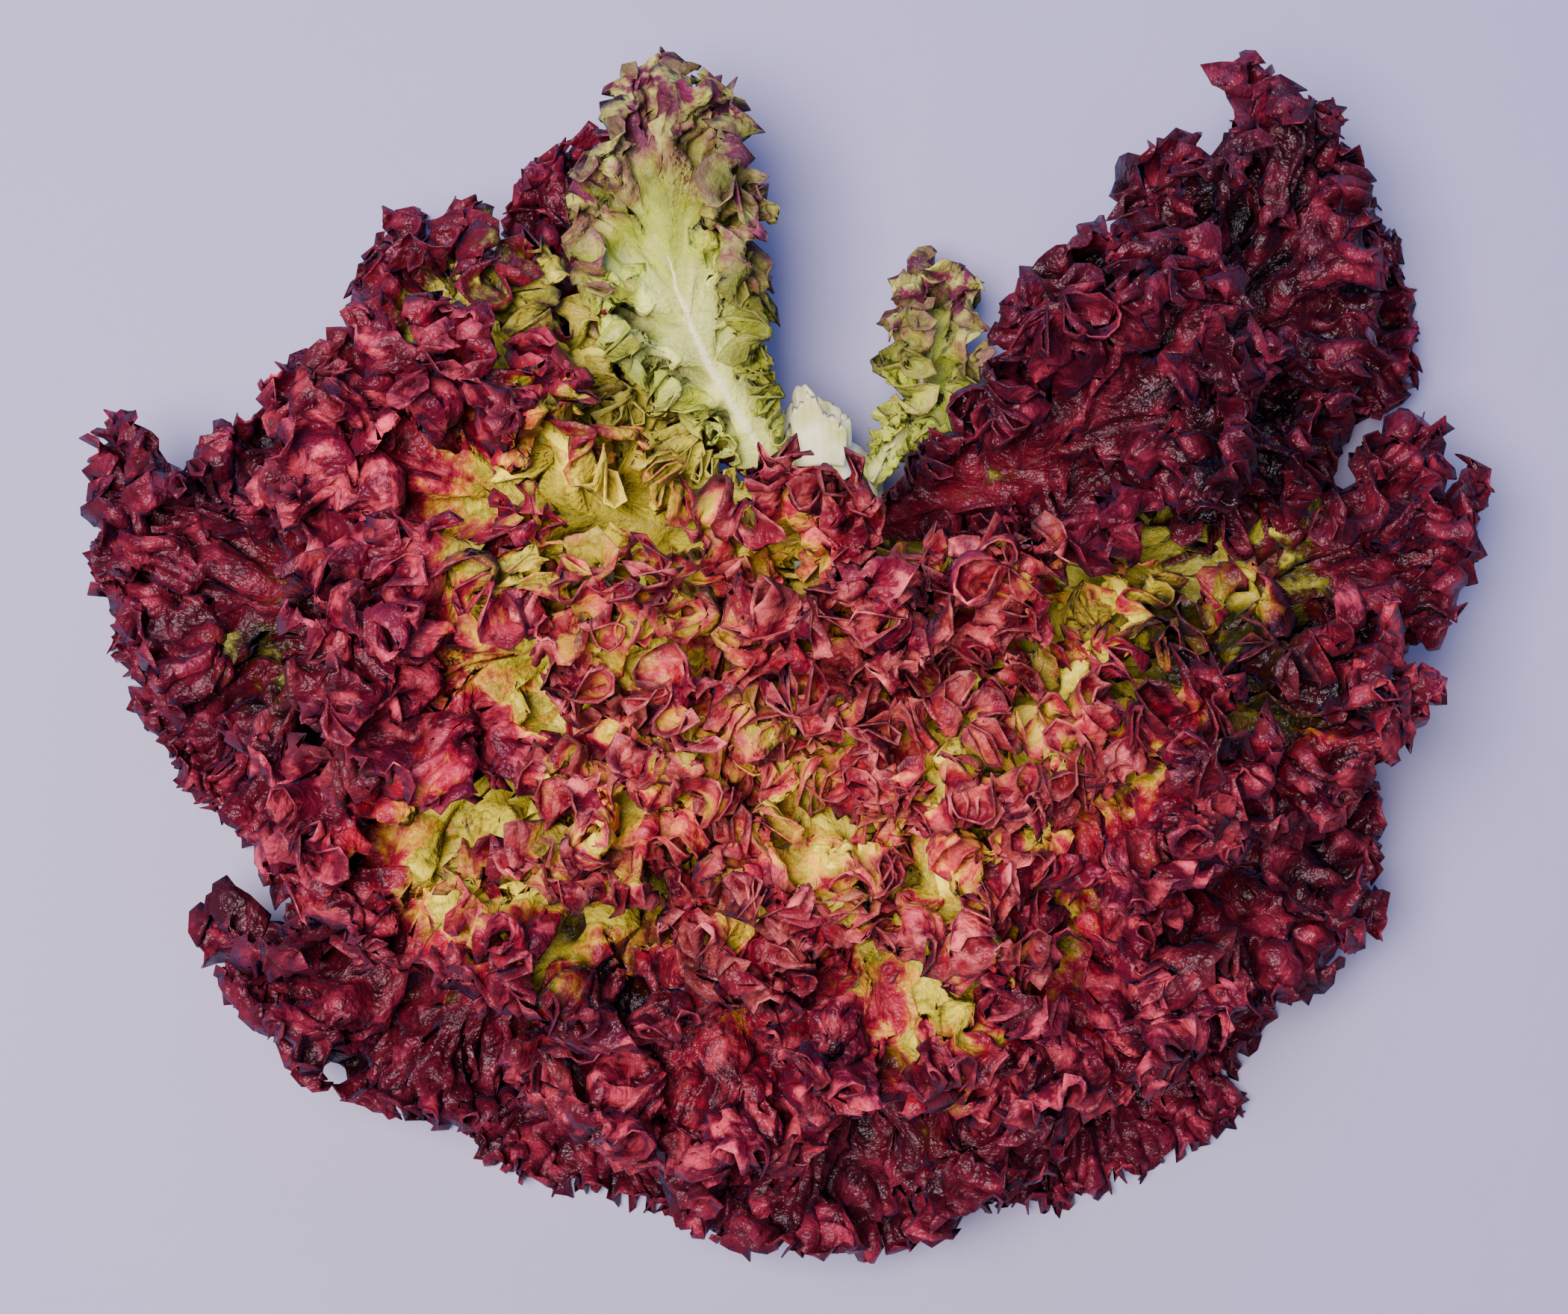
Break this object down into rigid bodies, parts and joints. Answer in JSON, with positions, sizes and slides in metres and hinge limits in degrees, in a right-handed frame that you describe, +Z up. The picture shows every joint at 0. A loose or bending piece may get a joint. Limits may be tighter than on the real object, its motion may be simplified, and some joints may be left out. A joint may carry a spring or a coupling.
{
  "type": "lollo rosso lettuce",
  "caption": "Head of lollo rosso lettuce lying opened out: rings of frilled dark red leaves round a torn pale stem.",
  "frame": {"origin": "on the table, under the middle of the head's bounding box", "axes": "+Z up, +Y towards the stem's torn end, +X along the head's longest side"},
  "size_m": [0.2935, 0.247, 0.0943],
  "materials": {
    "maroon_leaf": "fresh leaf, dark maroon frill with a waxy sheen, green towards the midrib",
    "red_leaf": "fresh leaf, wine red frill with a satin sheen, green towards the midrib",
    "rose_leaf": "young leaf, rose to yellow-green, translucent",
    "pale_leaf": "pale green leaf with a cream midrib and a purple-brown rim",
    "stem_flesh": "cream stem flesh, matte and moist, browned where it is torn"
  },
  "bodies": {
    "root": {"stem": "stem_flesh", "torn_base_1": "stem_flesh", "torn_base_2": "stem_flesh", "outer_leaf_1": "maroon_leaf", "outer_leaf_2": "maroon_leaf", "outer_leaf_3": "maroon_leaf", "outer_leaf_4": "maroon_leaf", "outer_leaf_5": "maroon_leaf", "outer_leaf_6": "maroon_leaf", "outer_leaf_7": "maroon_leaf", "outer_leaf_8": "pale_leaf", "second_leaf_1": "pale_leaf", "second_leaf_2": "maroon_leaf", "second_leaf_3": "maroon_leaf", "second_leaf_4": "maroon_leaf", "second_leaf_5": "maroon_leaf", "second_leaf_6": "maroon_leaf", "second_leaf_7": "maroon_leaf", "second_leaf_8": "maroon_leaf", "third_leaf_1": "red_leaf", "third_leaf_2": "red_leaf", "third_leaf_3": "red_leaf", "third_leaf_4": "red_leaf", "third_leaf_5": "red_leaf", "fourth_leaf_1": "red_leaf", "fourth_leaf_2": "red_leaf", "fourth_leaf_3": "red_leaf", "fourth_leaf_4": "red_leaf", "fifth_leaf_1": "rose_leaf", "fifth_leaf_2": "rose_leaf", "fifth_leaf_3": "rose_leaf", "fifth_leaf_4": "rose_leaf", "fifth_leaf_5": "rose_leaf", "fifth_leaf_6": "rose_leaf", "fifth_leaf_7": "rose_leaf", "heart_leaf_1": "rose_leaf", "heart_leaf_2": "rose_leaf", "heart_leaf_3": "rose_leaf", "heart_leaf_4": "rose_leaf", "bud_leaf_1": "rose_leaf", "bud_leaf_2": "rose_leaf", "back_leaf_1": "maroon_leaf"}
  },
  "joints": []
}
